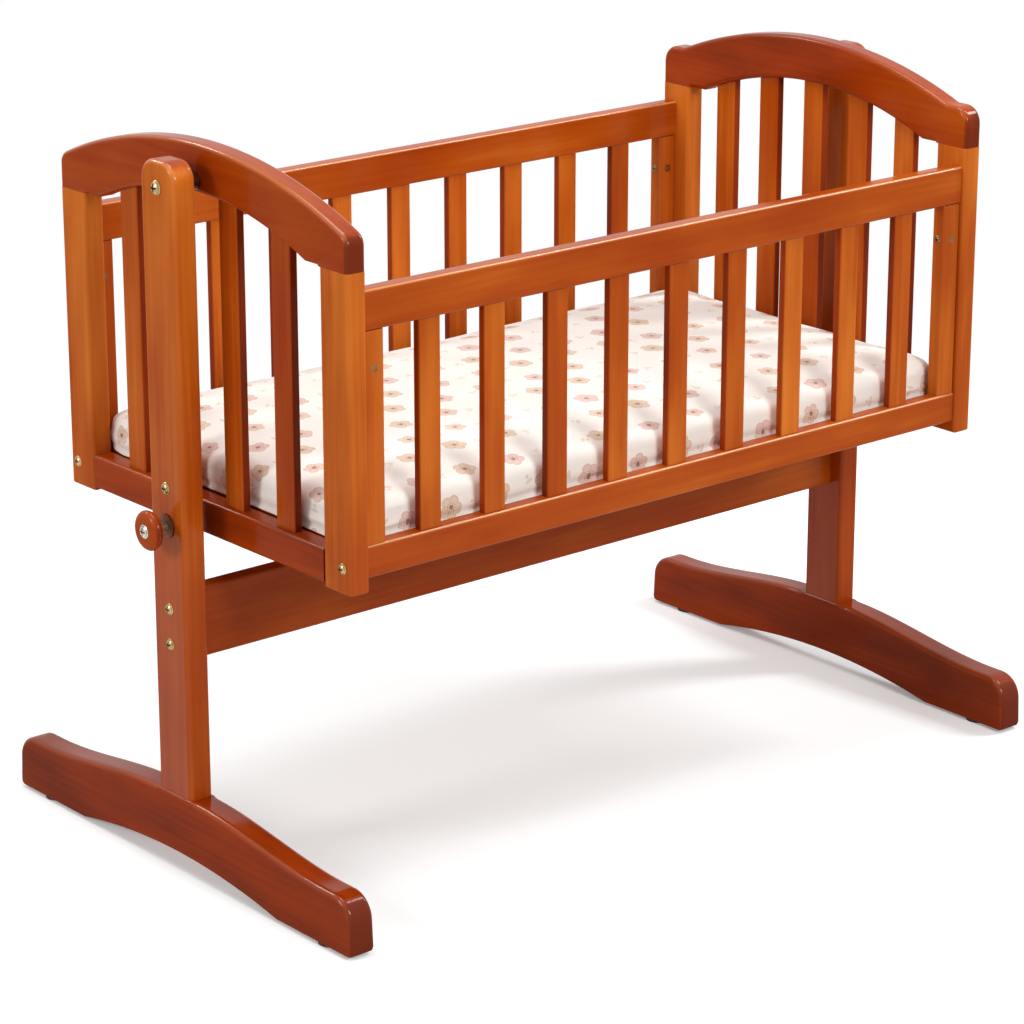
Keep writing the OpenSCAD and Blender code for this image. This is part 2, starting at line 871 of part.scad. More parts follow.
module lock_rod() {
    x_out = knob_back + 8;
    x_in = post_in - free_gap - lock_pad_t + 3;
    color(steel)
        at_mid()
            difference() {
                rod_x(-x_out, x_out - x_in, 0, lock_z, rod_d);
                rod_x(-x_out - 1, 13, 0, lock_z, 5 + 2 * snug);
            }
}

module lock_pad() {
    color(rubber)
        at_mid()
            difference() {
                rod_x(-post_in + free_gap, lock_pad_t, 0, lock_z, lock_pad_d);
                rod_x(-post_in, free_gap + lock_pad_t - 3, 0, lock_z, rod_d + 2 * snug);
            }
}

module knob_screw() {
    color(steel)
        at_mid() screw_x(near, knob_front - 3, 0, lock_z, 16, 3, 5, knob_t - 3 - 8 + 10);
}

near_post();
far_post();
near_foot();
far_foot();
foot_pads();
foot_bolts();
stretcher();
stretcher_bolts();
stretcher_inserts();
pivot_bushes();
lock_bush();
post_screw();
near_arch();
far_arch();
near_front_stile();
near_back_stile();
far_front_stile();
far_back_stile();
near_bottom_rail();
far_bottom_rail();
for (i = [1:near_slats_n])
    near_slat(i);
for (i = [1:far_slats_n])
    far_slat(i);
front_top_rail();
front_bottom_rail();
front_near_upright();
front_far_upright();
front_slats();
back_top_rail();
back_bottom_rail();
back_near_upright();
back_far_upright();
back_slats();
base_board();
base_cleats();
mattress();
corner_bolts();
corner_nuts();
side_studs();
side_nuts();
pivot_bolts();
pivot_spacers();
pivot_inserts();
lock_knob();
lock_rod();
lock_pad();
knob_screw();
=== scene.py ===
import json
import math

import bmesh
import bpy
import numpy as np
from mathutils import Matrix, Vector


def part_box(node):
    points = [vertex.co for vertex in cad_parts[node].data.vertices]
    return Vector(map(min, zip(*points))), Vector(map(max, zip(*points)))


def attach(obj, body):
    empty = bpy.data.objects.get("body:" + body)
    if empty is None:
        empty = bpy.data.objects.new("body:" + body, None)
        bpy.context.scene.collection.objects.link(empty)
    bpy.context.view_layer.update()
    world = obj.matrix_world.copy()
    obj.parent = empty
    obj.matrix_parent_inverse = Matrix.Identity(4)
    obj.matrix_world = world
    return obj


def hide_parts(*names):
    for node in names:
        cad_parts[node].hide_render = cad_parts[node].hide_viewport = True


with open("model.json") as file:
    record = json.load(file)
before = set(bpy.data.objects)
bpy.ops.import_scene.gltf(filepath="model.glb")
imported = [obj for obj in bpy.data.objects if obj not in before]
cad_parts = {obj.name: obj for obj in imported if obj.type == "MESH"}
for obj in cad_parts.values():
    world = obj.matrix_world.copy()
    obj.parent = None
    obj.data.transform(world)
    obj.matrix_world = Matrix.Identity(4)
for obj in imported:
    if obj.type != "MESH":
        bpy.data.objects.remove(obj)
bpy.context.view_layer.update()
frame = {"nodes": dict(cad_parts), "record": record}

# A swinging cradle on its stand: wooden pieces with eased edges, turned and pressed hardware,
# a sheeted mattress, and the light and camera of the studio. Metres, in the frame of the model.
NODES = frame["nodes"]
BODY_OF = {n: b for b, ns in frame["record"]["behaviour"]["bodies"].items() for n in ns}
rng = np.random.default_rng(41)
MIDDLE = 0.015925  # the cradle's middle along X


# ---------------------------------------------------------------- shader maths
def linear(r, g, b):
    """sRGB 0-255 to linear: the low end divided by 12.92, the rest a 2.4 power."""
    c = np.array([r, g, b], float) / 255
    out = np.where(c <= 0.04045, c / 12.92, ((c + 0.055) / 1.055) ** 2.4)
    return (*[float(v) for v in out], 1.0)


class Value:
    """A number that flows through a material; arithmetic on it adds Math nodes."""

    def __init__(self, paint, socket):
        self.paint, self.socket = paint, socket

    def _do(self, op, other, swap=False):
        a, b = (other, self) if swap else (self, other)
        return self.paint.math(op, a, b)

    def __add__(self, o): return self._do("ADD", o)
    def __radd__(self, o): return self._do("ADD", o, True)
    def __sub__(self, o): return self._do("SUBTRACT", o)
    def __rsub__(self, o): return self._do("SUBTRACT", o, True)
    def __mul__(self, o): return self._do("MULTIPLY", o)
    def __rmul__(self, o): return self._do("MULTIPLY", o, True)
    def __truediv__(self, o): return self._do("DIVIDE", o)
    def __rtruediv__(self, o): return self._do("DIVIDE", o, True)
    def __pow__(self, o): return self._do("POWER", o)


class Nodes:
    """A tree of nodes: a single method adds every one, and sums are written as expressions."""

    def __init__(self, tree):
        self.tree = tree
        tree.nodes.clear()

    def put(self, socket, val):
        """Feeds a socket from a value or another socket, or sets it to a constant."""
        if isinstance(val, Value):
            val = val.socket
        if isinstance(val, bpy.types.NodeSocket):
            self.tree.links.new(val, socket)
        elif val is not None:
            socket.default_value = val

    def node(self, kind, settings=None, inputs=None):
        """A node of a type, with its settings, then the values or links of its sockets."""
        n = self.tree.nodes.new("ShaderNode" + kind)
        for key, val in (settings or {}).items():
            if key == "stops":
                marks = n.color_ramp.elements
                while len(marks) < len(val):
                    marks.new(0.5)
                for e, (pos, col) in zip(marks, val):
                    e.position, e.color = pos, col
            else:
                setattr(n, key, val)
        for key, val in (inputs or {}).items():
            self.put(n.inputs[key], val)
        return n

    def math(self, op, a, b=None, clamp=False):
        n = self.node("Math", {"operation": op, "use_clamp": clamp}, {0: a, 1: b})
        return Value(self, n.outputs[0])

    def step(self, x, lo, hi):
        """Smooth step of x from 0 at lo to 1 at hi."""
        n = self.node("MapRange", {"interpolation_type": "SMOOTHSTEP"},
                      {"Value": x, "From Min": lo, "From Max": hi})
        return Value(self, n.outputs[0])

    def attribute(self, name):
        return self.node("Attribute", {"attribute_name": name})

    def number(self, name):
        return Value(self, self.attribute(name).outputs["Fac"])

    def place(self):
        """Object coordinates."""
        return self.node("TexCoord").outputs["Object"]

    def split(self, vector):
        n = self.node("SeparateXYZ", None, {0: vector})
        return [Value(self, s) for s in n.outputs]

    def join(self, x, y, z):
        return self.node("CombineXYZ", None, {0: x, 1: y, 2: z}).outputs[0]

    def noise(self, vector, scale, detail=2.0, rough=0.5):
        n = self.node("TexNoise", None, {"Vector": vector, "Scale": scale, "Detail": detail,
                                         "Roughness": rough})
        return Value(self, n.outputs[0])

    def blend(self, factor, a, b):
        """Colour a where the factor is 0, b where it is 1. Sockets 6 and 7 are the colours."""
        n = self.node("Mix", {"data_type": "RGBA"}, {"Factor": factor, 6: a, 7: b})
        return n.outputs[2]

    def bump(self, height, strength, distance, under=None):
        n = self.node("Bump", None, {"Height": height, "Strength": strength,
                                     "Distance": distance, "Normal": under})
        return n.outputs[0]

    def seen(self):
        """1 for what is seen directly, mirrored or through something clear, 0 for light."""
        rays = self.node("LightPath").outputs
        direct = self.math("MAXIMUM", rays["Is Camera Ray"], rays["Is Glossy Ray"])
        return self.math("MAXIMUM", direct, rays["Is Transmission Ray"])


class Paint(Nodes):
    """One material round a Principled shader, with its fixed values set on the sockets."""

    def __init__(self, name, **fixed):
        self.mat = bpy.data.materials.new(name)
        self.mat.use_nodes = True
        super().__init__(self.mat.node_tree)
        self.skin = self.node("BsdfPrincipled")
        self.out = self.node("OutputMaterial", None, {"Surface": self.skin.outputs[0]})
        self.dress(**fixed)

    def dress(self, **inputs):
        for key, val in inputs.items():
            self.put(self.skin.inputs[key.replace("_", " ")], val)
        return self.mat


# The stain from its lightest to its darkest, and the pale edge: rubbed wear and painted highlight
WOOD_LIGHT = linear(215, 120, 40)
WOOD_MID = linear(171, 75, 16)
WOOD_RED = linear(149, 52, 7)
WOOD_DARK = linear(111, 38, 11)
WOOD_WEAR_AND_HIGHLIGHT = linear(248, 184, 120)
RING_GAP, PITH_DEPTH = 0.0098, 0.05


def stained_wood():
    """Reddish stain on pine under a satin lacquer. The grain attribute runs in metres along,
    across and through each board. Growth rings are shells round a pith below the board: the
    fraction of the distance to it over the gap between rings. Streaks, clouds and pores are
    noise drawn out along the grain. Together they say how dark the stain is."""
    p = Paint("stained_pine", Coat_Roughness=0.11, Coat_IOR=1.45, IOR=1.45,
              Specular_IOR_Level=0.0)
    u, v, w = p.split(p.attribute("grain").outputs["Vector"])
    tone, edge, end, up = [p.number(name) for name in ("tone", "edge", "end", "up")]

    def drawn(along, across, detail=2.0, rough=0.5):
        """Noise of so many features a metre along the grain, and so many across it."""
        return p.noise(p.join(u * along, v * across, w * across), 1.0, detail, rough)

    drift = drawn(1.6, 7, 3.0)
    fine = drawn(6, 260, 3.0, 0.6)
    streak = drawn(2.2, 60, 2.0, 0.55)
    cloud = drawn(3, 9)
    figure = drawn(6, 30)
    shell = p.math("SQRT", v * v + (w + PITH_DEPTH) * (w + PITH_DEPTH)) + drift * 0.035
    ring = p.math("FRACT", shell / RING_GAP)
    late = p.step(ring, 0.2, 0.85) * (1 - p.step(ring, 0.85, 1.0))
    pore = p.step(drawn(30, 900, 1.0), 0.66, 0.78)
    shade = (late * 0.035 + (fine - 0.5) * 0.18 + (streak - 0.5) * 0.16 + (cloud - 0.5) * 0.7
             + (figure - 0.5) * 0.4 + tone * 0.4 + pore * 0.05 + 0.16)
    # End darkens the end grain; on the slats' side faces the same mark is painted shade
    shade = p.math("ADD", shade, end * 0.46, clamp=True)
    stain = [(0.0, WOOD_LIGHT), (0.42, WOOD_MID), (0.72, WOOD_RED), (1.0, WOOD_DARK)]
    stained = p.node("ValToRGB", {"stops": stain}, {"Fac": shade}).outputs[0]
    # The pale edge colour is partly wear and partly a painted highlight along the eased edges
    worn_and_highlit = p.blend(edge ** 2.5 * 0.55, stained, WOOD_WEAR_AND_HIGHLIGHT)
    lift = p.bump(fine * 0.5 + late * 0.12 - pore * 0.6, 0.12, 0.0004)
    ripple = p.bump(drawn(9, 30, 1.0), 0.05, 0.002, lift)
    return p.dress(Base_Color=worn_and_highlit, Roughness=0.36 + fine * 0.16 + pore * 0.1,
                   Coat_Weight=0.17 + up * 0.5 + edge * 0.4 - pore * 0.06, Normal=ripple)


# Painted shade for the bottoms of the screws' cross recesses
RECESS_SHADE = linear(34, 24, 16)


def metal(name, bright, dull, rough, mark=0.0):
    """Plated or solid metal: cloudy tarnish between two colours, and fine scratches. The flat
    bottoms of the cross recesses, which lie mark metres from the cradle's middle, are dark with
    painted shade, for the shade inside the recesses."""
    p = Paint(name, Metallic=1.0)
    spot = p.place()
    cloud = p.noise(spot, 160.0, 3.0)
    scratch = p.noise(spot, 2240.0, 2.0)
    col = p.blend(p.step(cloud, 0.35, 0.75) * 0.6, bright, dull)
    # The cross recesses' bottoms get painted shade
    off = p.math("ABSOLUTE", p.math("ABSOLUTE", p.split(spot)[0] - MIDDLE) - mark)
    deep = 1 - p.step(off, 0.00012, 0.0002)
    return p.dress(Base_Color=p.blend(deep * 0.85, col, RECESS_SHADE),
                   Roughness=rough + cloud * 0.12 + scratch * 0.06,
                   Normal=p.bump(scratch, 0.06, 0.0002))


def rubber():
    """Matt black rubber with a fine pebbled skin and a little dust."""
    p = Paint("pad_rubber", Roughness=0.75)
    spot = p.place()
    col = p.blend(p.noise(spot, 60.0, 3.0), linear(26, 25, 25), linear(52, 50, 49))
    return p.dress(Base_Color=col, Normal=p.bump(p.noise(spot, 900.0, 2.0), 0.15, 0.0003))


# The print: one blossom to a cell, its reach between the petals, and how much more on them
CELL_LONG, CELL_WIDE = 0.068, 0.052
PETAL_ROOT, PETAL_SWELL = 0.0094, 0.0046
THREADS = 9000.0


def printed_sheet():
    """Cream cotton with scattered blossoms. The cloth attribute is the sheet laid flat, in
    metres; the sheet is cut into staggered cells, each with one turned blossom and a leaf. A
    blossom reaches out by its root plus its swell times the root of a five-lobed cosine."""
    p = Paint("sheet_cotton", Roughness=0.85, Specular_IOR_Level=0.2, Sheen_Weight=0.15,
              Sheen_Roughness=0.5)
    a, b, side = p.split(p.attribute("cloth").outputs["Vector"])

    def cell(along, across, seed, play):
        """The place in a cell that is moved by up to half of play and turned, both at random,
        and two of the cell's random numbers."""
        row = p.math("FLOOR", across / CELL_WIDE)
        place = along / CELL_LONG + p.math("FRACT", row * 0.5)
        rand = p.node("TexWhiteNoise", {"noise_dimensions": "3D"},
                      {"Vector": p.join(p.math("FLOOR", place), row, seed)})
        r1, r2, r3 = p.split(rand.outputs["Color"])
        x = (p.math("FRACT", place) - 0.5) * CELL_LONG + (r1 - 0.5) * play
        y = (p.math("FRACT", across / CELL_WIDE) - 0.5) * CELL_WIDE + (r2 - 0.5) * play
        cos, sin = p.math("COSINE", r3 * math.tau), p.math("SINE", r3 * math.tau)
        return x * cos - y * sin, x * sin + y * cos, r1, r2

    x, y, r1, r2 = cell(a, b, 3.0, 0.012)
    far = p.math("SQRT", x * x + y * y)
    angle = p.math("ARCTAN2", y, x)
    brush = p.noise(p.join(a * 150, b * 150, 0.0), 1.0, 2.0)
    lobe = p.math("ABSOLUTE", p.math("COSINE", angle * 2.5))
    petals = (PETAL_ROOT + p.math("SQRT", lobe) * PETAL_SWELL + (brush - 0.5) * 0.0016
              + (r1 - 0.5) * 0.003)
    flower = 1 - p.step(far - petals, -0.0006, 0.0007)
    rim = flower * p.step(far - petals, -0.0024, -0.0003)
    vein = flower * (1 - p.step(lobe, 0.05, 0.3)) * p.step(far, 0.003, 0.006)
    heart = 1 - p.step(far, 0.0023, 0.0034)
    seed = 1 - p.step(p.math("ABSOLUTE", far - 0.0052), 0.0004, 0.0011)
    seed = seed * p.step(p.math("COSINE", angle * 10), 0.3, 0.7)
    x, y, *_ = cell(a + CELL_LONG / 2, b, 8.0, 0.016)
    leaf = 1 - p.step(p.math("SQRT", x * x + y * y * 5), 0.0052, 0.0062)
    bud = 1 - p.step(p.math("ABSOLUTE", x) + p.math("ABSOLUTE", y - 0.006), 0.0022, 0.003)
    petal = p.blend(r1, linear(226, 196, 176), linear(214, 190, 160))
    petal = p.blend(p.step(r2, 0.55, 0.62), petal, linear(220, 186, 178))
    petal = p.blend(brush * 0.5, petal, linear(238, 220, 206))
    col = p.blend(p.noise(p.join(a * 9, b * 9, side), 1.0, 2.0) * 0.5,
                  linear(244, 240, 234), linear(240, 235, 227))
    for mask, strength, ink in (
            (flower, 0.95, petal), (rim, 0.35, linear(186, 148, 126)),
            (vein, 0.3, linear(178, 138, 118)), (leaf, 0.6, linear(212, 200, 172)),
            (bud, 0.6, linear(222, 176, 160)), (seed, 0.7, linear(140, 100, 84)),
            (heart, 0.8, linear(128, 88, 72))):
        col = p.blend(mask * strength, col, ink)
    weave = p.math("SINE", a * THREADS) * p.math("SINE", b * THREADS)
    soft = p.noise(p.join(a * 60, b * 60, side * 60), 1.0, 3.0)
    creased = p.bump(soft, 0.25, 0.0015, p.bump(weave, 0.05, 0.0002))
    return p.dress(Base_Color=col, Roughness=0.8 + soft * 0.1, Normal=creased)


WOOD = stained_wood()
YELLOW, OLD = linear(190, 166, 118), linear(112, 88, 52)
BRASS = metal("brass_plate", YELLOW, OLD, 0.2)
POST_BRASS = metal("post_brass", YELLOW, OLD, 0.2, 0.5326)
PIVOT_BRASS = metal("pivot_brass", YELLOW, OLD, 0.2, 0.5333)
CORNER_BRASS = metal("corner_brass", YELLOW, OLD, 0.2, 0.48144)
STUD_BRASS = metal("stud_brass", linear(150, 108, 66), linear(104, 66, 38), 0.3, 0.42604)
BRONZE = metal("bronze_ring", linear(116, 64, 40), linear(66, 36, 24), 0.3)
STEEL = metal("steel_plate", linear(204, 199, 184), linear(140, 135, 124), 0.18, 0.56305)
RUBBER = rubber()
SHEET = printed_sheet()

# ---------------------------------------------------------------- shapes
PLANES = {"x": (1, 2, 0), "y": (2, 0, 1), "z": (0, 1, 2)}  # outline's two axes, and the third
GRAIN = {"x": (0, 1, 2), "y": (1, 0, 2), "z": (2, 0, 1)}  # axes along, across and through
LEVEL = 0.0003  # the level stretch that an arc has before and after it, for clean shading
# The rows of an eased edge, from the flat end on: the angle of the quarter circle, and how much
# the row counts as edge. The first lies EDGE_STEP further in, and the last further along.
EDGE_TURN = np.radians([90, 90, 72, 54, 36, 18, 0, 0])
EDGE_BAND = np.array([0, 0.2, 0.7, 1, 1, 0.7, 0.2, 0])
EDGE_STEP = 0.0004
MITRE_LEAST = 0.35  # keeps a sharp corner's points from moving in too far
SHARP = math.radians(35)
MIRROR = np.array([-1, 1])
TOUCH = 1e-6


def eased(corners, radii, steps=5):
    """Rounds a closed outline. Each corner of radius r becomes an arc that starts and ends
    where the sides touch it, with a short level stretch before and after for clean shading.
    Returns the points and a mask that is 1 in the middle of each arc."""
    pts, mask = [], []
    c = np.array(corners, float)
    n = len(c)
    radii = [radii] * n if np.isscalar(radii) else radii
    for i, r in enumerate(radii):
        p, a, b = c[i], c[i - 1], c[(i + 1) % n]
        if r <= 0:
            pts.append(p)
            mask.append(0.0)
            continue
        da, db = (a - p) / np.linalg.norm(a - p), (b - p) / np.linalg.norm(b - p)
        half = math.acos(np.clip(da @ db, -1, 1)) / 2
        reach = r / math.tan(half)
        middle = p + (da + db) / np.linalg.norm(da + db) * r / math.sin(half)
        start, stop = p + da * reach - middle, p + db * reach - middle
        t = np.linspace(0, 1, steps + 1)[:, None]
        swing = math.pi - 2 * half
        arc = (np.sin((1 - t) * swing) * start + np.sin(t * swing) * stop) / math.sin(swing)
        pts += [p + da * (reach + LEVEL)] + list(middle + arc) + [p + db * (reach + LEVEL)]
        mask += [0.0] + list(np.sin(np.linspace(0, math.pi, steps + 1))) + [0.0]
    return np.array(pts), np.array(mask)


def ramp(x, start, stop):
    """0 up to start, 1 from stop on, and a straight line between them, either way round."""
    return np.clip((x - start) / (stop - start), 0, 1)


def curve(x0, x1, height, n):
    """Points (x, height(x)) for n + 1 even steps from x0 to x1."""
    x = np.linspace(x0, x1, n + 1)
    return np.stack([x, height(x)], 1)


def circle_top(crown, r):
    """Height of a circle of radius r whose crown has that height: crown - r + sqrt(r2 - y2)."""
    return lambda y: crown - r + np.sqrt(r ** 2 - y ** 2)


def chord_radius(half, rise):
    """Radius of the arc that rises so much over half of its chord: (half2 + rise2) / 2 rise."""
    return (half ** 2 + rise ** 2) / (2 * rise)


def corner(y, z, r, angle, n):
    """n points of a circle round (y, z), from level outwards up to the angle in degrees."""
    a = np.radians(np.linspace(0, angle, n))
    return np.stack([y + r * np.cos(a), z + r * np.sin(a)], 1)


def prism(outline, mask, low, high, axis, ease, hold=None, ends=(1.0, 1.0)):
    """An outline carried along an axis, with its edges eased by quarter circles: at angle f
    the outline is drawn in by ease (1 - cos f) and lies ease (1 - sin f) inside the end.
    ease is a number or one per point, and ends scales it at either end; hold marks points that
    keep their second coordinate; mask says which points are rounded edges already."""
    o = np.array(outline, float)
    area = np.sum(o[:, 0] * np.roll(o[:, 1], -1) - o[:, 1] * np.roll(o[:, 0], -1))
    ease, mask, hold = [np.broadcast_to(np.asarray(v), len(o))
                        for v in (ease, mask, False if hold is None else hold)]
    if area < 0:
        o, ease, mask, hold = o[::-1], ease[::-1], mask[::-1], hold[::-1]
    d = np.roll(o, -1, 0) - o
    d /= np.maximum(np.linalg.norm(d, axis=1), 1e-12)[:, None]
    inward = np.stack([-d[:, 1], d[:, 0]], 1)
    mean = inward + np.roll(inward, 1, 0)
    mean /= np.maximum(np.sum(mean * mean, 1), MITRE_LEAST)[:, None] / 2
    mean[hold, 1] = 0
    last = len(EDGE_TURN) - 1
    rows, masks = [], []
    for side, k in [(0, k) for k in range(last + 1)] + [(1, k) for k in range(last, -1, -1)]:
        e = ease * ends[side]
        inset = e * (1 - math.cos(EDGE_TURN[k])) + EDGE_STEP * (k == 0)
        depth = e * (1 - math.sin(EDGE_TURN[k])) + EDGE_STEP * (k == last)
        along = high - depth if side else low + depth
        rows.append(np.column_stack([o + mean * inset[:, None], along]))
        masks.append(np.maximum(EDGE_BAND[k] * np.minimum(e / 0.002, 1), mask))
    n, m = len(o), len(rows)
    pts = np.concatenate(rows)
    i = np.arange(n)
    j = np.arange(m - 1)[:, None] * n
    quads = np.stack([j + i, j + (i + 1) % n, j + n + (i + 1) % n, j + n + i], -1)
    faces = [i[::-1].tolist(), (i + (m - 1) * n).tolist()] + quads.reshape(-1, 4).tolist()
    xyz = np.empty_like(pts)
    for column, target in enumerate(PLANES[axis]):
        xyz[:, target] = pts[:, column]
    return xyz, faces, np.concatenate(masks)


def bar(lo, hi, axis, round_edge, ease=0.0004, ends=(1.0, 1.0)):
    """A straight stick between two corners, with its long edges rounded."""
    a, b, c = PLANES[axis]
    corners = [(lo[a], lo[b]), (hi[a], lo[b]), (hi[a], hi[b]), (lo[a], hi[b])]
    pts, mask = eased(corners, round_edge)
    return prism(pts, mask, lo[c], hi[c], axis, ease, ends=ends)


def turned(profile, start, axis, steps=72):
    """A profile of (distance along, radius) pairs spun round an axis through start. Radius 0
    at either end closes it with a fan."""
    prof = np.array(profile, float)
    t = np.arange(steps) * 2 * math.pi / steps
    a, b, c = PLANES[axis]
    pts = np.zeros((len(prof), steps, 3))
    pts[..., a] = start[a] + prof[:, 1:2] * np.cos(t)
    pts[..., b] = start[b] + prof[:, 1:2] * np.sin(t)
    pts[..., c] = start[c] + prof[:, 0:1]
    i = np.arange(steps)
    j = np.arange(len(prof) - 1)[:, None] * steps
    quads = np.stack([j + i, j + (i + 1) % steps, j + steps + (i + 1) % steps, j + steps + i], -1)
    return pts.reshape(-1, 3), quads.reshape(-1, 4).tolist(), np.zeros(pts[..., 0].size)


def link(ob):
    bpy.context.scene.collection.objects.link(ob)
    return ob


def make(node, parts, grain="z", shade=None, tint=0.0, cap=2e-5, wear=1.0, narrow=None,
         suffix="_wood", slot="stained_pine"):
    """One wooden piece from several closed shells, in place of its node and on its body. It
    carries what the stain reads. Grain is the place along, across and through the board, with
    each shell moved at random. Tone is the given shade, or a random one plus tint. Edge is the
    shells' own masks times the wear scale. The pale edge it gives is partly wear and partly a
    painted highlight, fading on what looks sideways or down, away from the light above. End is 1
    on end grain and within cap of the tips. On the faces of a slat that look along the given
    shade axis it is painted shade, for the shade between neighbouring slats. Up is how far a face
    looks upwards."""
    verts, faces, grains, tones, edges = [], [], [], [], []
    base = 0
    order = GRAIN[grain]
    for v, f, e in parts:
        shift = rng.uniform(0, 5, 3) * (1, 0.02, 0.02)
        middle = (v.min(0) + v.max(0)) / 2
        verts.append(v)
        faces += [[base + k for k in face] for face in f]
        grains.append((v - middle)[:, order] + shift)
        tone = rng.uniform(0.3, 0.75) + tint if shade is None else shade
        tones.append(np.full(len(v), tone))
        edges.append(e * wear)
        base += len(v)
    verts = np.concatenate(verts)
    me = bpy.data.meshes.new(node + suffix)
    me.from_pydata(verts.tolist(), [], faces)
    me.update()
    me.polygons.foreach_set("use_smooth", np.ones(len(me.polygons), bool))
    me.set_sharp_from_angle(angle=SHARP)
    normals = np.empty(len(me.vertices) * 3, np.float32)
    me.vertices.foreach_get("normal", normals)
    normals = normals.reshape(-1, 3)
    up = np.clip(normals[:, 2], 0, 1)
    # Edges are partly wear and partly painted highlight, strongest where they face up towards the
    # light
    edge = np.concatenate(edges) * (0.3 + 0.7 * ramp(normals[:, 2], 0, 0.625))
    along = verts[:, order[0]]
    tip = np.minimum(along - along.min(), along.max() - along)
    end = np.maximum(ramp(np.abs(normals[:, order[0]]), 0.55, 0.95), ramp(tip, cap, cap * 0.4))
    # On a slat's faces that look along this axis the end mark is painted shade, for the shade
    # between slats
    if narrow is not None:
        end = np.maximum(end, ramp(np.abs(normals[:, narrow]), 0.6, 0.95))
    for key, data in (("tone", np.concatenate(tones)), ("edge", edge), ("end", end), ("up", up)):
        cells = me.attributes.new(key, "FLOAT", "POINT").data
        cells.foreach_set("value", data.astype(np.float32))
    vec = np.concatenate(grains).astype(np.float32).ravel()
    me.attributes.new("grain", "FLOAT_VECTOR", "POINT").data.foreach_set("vector", vec)
    me.materials.append(WOOD)
    ob = link(bpy.data.objects.new(node + suffix, me))
    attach(ob, BODY_OF[node])
    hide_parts(node)


def span(node):
    lo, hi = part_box(node)
    return np.array(lo), np.array(hi)


def stick(node, axis, round_edge, ease=0.0004, ends=(1.0, 1.0), **look):
    """A straight stick that fills its node's box, with its grain along it."""
    lo, hi = span(node)
    make(node, [bar(lo, hi, axis, round_edge, ease, ends)], axis, **look)


def row_of(node, count, across, width, axis, round_edge, **look):
    """Even sticks of one width that fill a node's box from side to side."""
    lo, hi = span(node)
    step = (hi[across] - lo[across] - width) / (count - 1)
    shells = []
    for i in range(count):
        a, b = lo.copy(), hi.copy()
        a[across] = lo[across] + i * step
        b[across] = a[across] + width
        shells.append(bar(a, b, axis, round_edge))
    make(node, shells, axis, **look)


# ---------------------------------------------------------------- stand
POST_ROUND, POST_HALF, POST_EASE = 0.023, 0.0315, 0.0055
FOOT_ROUND, FOOT_HOLLOW, FOOT_SOLE, FOOT_END = 0.030, 0.019, 0.135, 0.067
FOOT_LEVEL = 0.015  # the straight stretch before a foot's rounded end
FOOT_EASE, SEAT_EASE, SOLE_EASE = 0.006, 0.0022, 0.0035


def post(node):
    """A board whose two upper corners are rounded, with eased edges, level on its foot."""
    lo, hi = span(node)
    corners = [(lo[1], lo[2]), (hi[1], lo[2]), (hi[1], hi[2]), (lo[1], hi[2])]
    pts, _ = eased(corners, [0, 0, POST_ROUND, POST_ROUND], 12)
    hold = pts[:, 1] < lo[2] + TOUCH
    make(node, [prism(pts, 0.0, lo[0], hi[0], "x", POST_EASE, hold)], "z", shade=0.1, wear=0.7)


def foot_height(y, top, half):
    """Upper edge of a foot: level under the post, then one long smooth fall to its end, the
    smooth step 3t2 - 2t3 of the distance from the post."""
    inner, outer = POST_HALF + 0.004, half - FOOT_ROUND - FOOT_LEVEL
    t = ramp(np.abs(y), inner, outer)
    k = t * t * (3 - 2 * t)
    return top * (1 - k) + FOOT_END * k


def foot(node):
    """A foot's outline: an arc hollows it underneath, small toes turn up into rounded ends, and
    the upper edge falls from the post. It is eased less at the post's seat and at the sole."""
    lo, hi = span(node)
    top, half = hi[2] - lo[2], hi[1]
    sole = half - FOOT_SOLE
    arc = circle_top(FOOT_HOLLOW, chord_radius(sole, FOOT_HOLLOW))
    under = curve(-sole, sole, arc, 40)
    under[:, 1] = np.maximum(under[:, 1], 0)
    toe = np.array([(half - 0.006, 0), (half - 0.002, 0.0014), (half, 0.006)])
    cap = corner(half - FOOT_ROUND, FOOT_END - FOOT_ROUND, FOOT_ROUND, 90, 11)
    reach = half - FOOT_ROUND - 0.004
    over = curve(reach, -reach, lambda y: foot_height(y, top, half), 90)
    pts = np.concatenate([under, toe, cap, over, (cap * MIRROR)[::-1], (toe * MIRROR)[::-1]])
    pts[:, 1] += lo[2]
    ease = np.full(len(pts), FOOT_EASE)
    ease[(np.abs(pts[:, 0]) < POST_HALF + 0.006) & (pts[:, 1] > lo[2] + 0.05)] = SEAT_EASE
    ease[pts[:, 1] < lo[2] + 0.022] = SOLE_EASE
    make(node, [prism(pts, 0.0, lo[0], hi[0], "x", ease)], "y", shade=1.62, wear=0.35)


# ---------------------------------------------------------------- end panels
EAR_H, EAR_W, EAR_R = 0.049, 0.035, 0.021
NEAR_FALL, NEAR_R = 0.057, 0.016
UNDER_RISE, UNDER_FLAT, STILE_W = 0.040, 0.027, 0.048
ARCH_EASE = 0.0055


